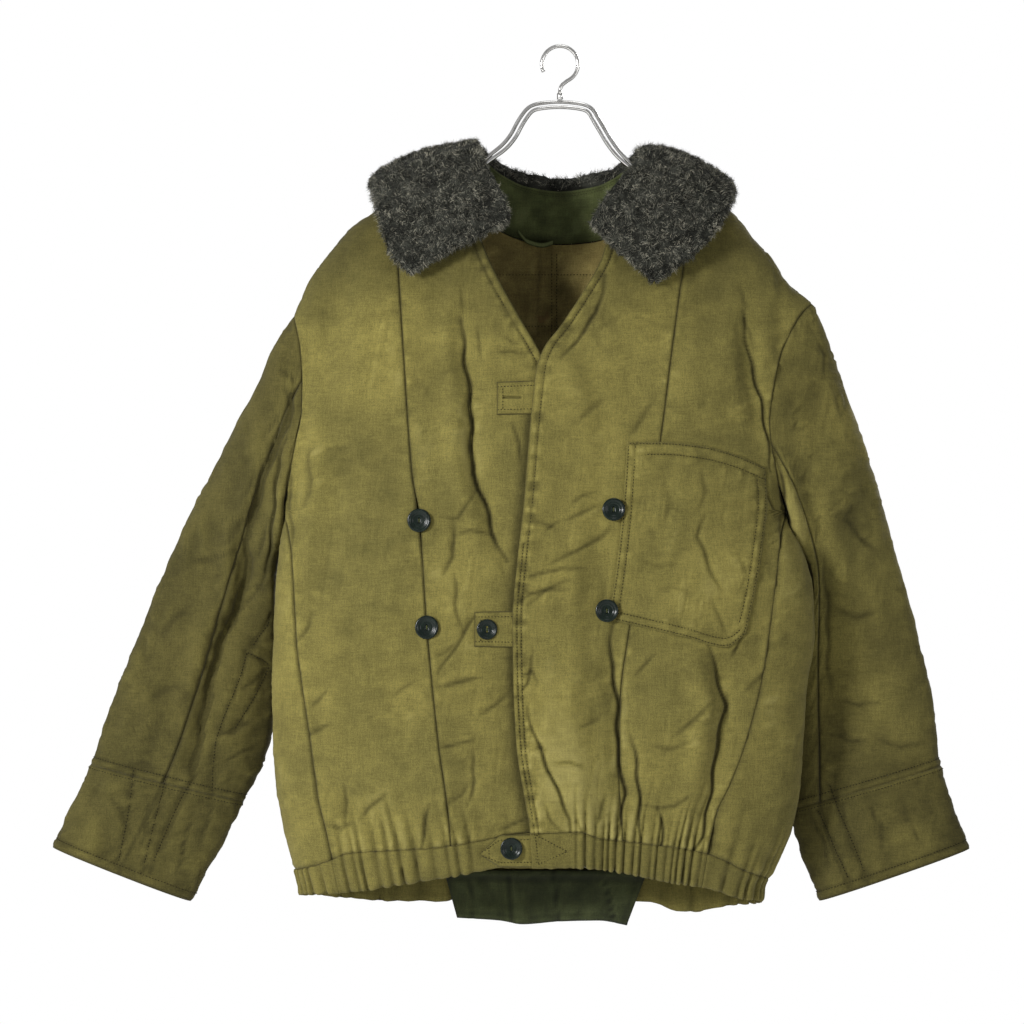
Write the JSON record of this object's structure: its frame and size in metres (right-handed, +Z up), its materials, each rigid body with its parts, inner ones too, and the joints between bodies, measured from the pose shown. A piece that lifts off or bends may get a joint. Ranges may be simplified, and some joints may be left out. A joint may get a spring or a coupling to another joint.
{
  "type": "padded military jacket with a pile collar on a wire hanger",
  "caption": "Short padded jacket with a spread pile collar, lapped fronts, straps, patch pocket and gathered hem, hung open-necked on a two-rod wire hanger.",
  "frame": {"origin": "inner top of the hanger's hook, where a rail carries it", "axes": "+Z up, +X to the viewer's right of the jacket's front, -Y towards the viewer"},
  "size_m": [0.97, 0.192, 0.9299],
  "materials": {
    "olive_cotton": "faded plain-weave cotton over wadding",
    "khaki_lining": "thin cotton lining",
    "grey_pile": "dense curly pile",
    "dark_green_cotton": "plain cotton",
    "dark_green_quilting": "smooth quilted cotton",
    "black_green_plastic": "dished, glossy",
    "bright_steel": "plated rod"
  },
  "bodies": {
    "root": {"front_left_side": "olive_cotton", "front_left_centre": "olive_cotton", "front_right_centre": "olive_cotton", "front_right_side": "olive_cotton", "back_left": "olive_cotton", "back_right": "olive_cotton", "sleeve_left_upper": "olive_cotton", "sleeve_left_under": "olive_cotton", "sleeve_right_upper": "olive_cotton", "sleeve_right_under": "olive_cotton", "cuff_left": "olive_cotton", "cuff_right": "olive_cotton", "band_left": "olive_cotton", "band_right": "olive_cotton", "band_back": "olive_cotton", "pocket": "olive_cotton", "strap_top": "olive_cotton", "strap_middle": "olive_cotton", "strap_waist": "olive_cotton", "lining_left": "khaki_lining", "lining_right": "khaki_lining", "collar_fall": "grey_pile", "collar_stand": "dark_green_cotton", "hanging_loop": "dark_green_cotton", "inner_flap": "dark_green_quilting", "button_left_upper": "black_green_plastic", "button_left_lower": "black_green_plastic", "button_right_upper": "black_green_plastic", "button_right_lower": "black_green_plastic", "button_centre": "black_green_plastic", "button_waist": "black_green_plastic", "hanger_frame": "bright_steel", "hanger_hook": "bright_steel"}
  },
  "joints": []
}
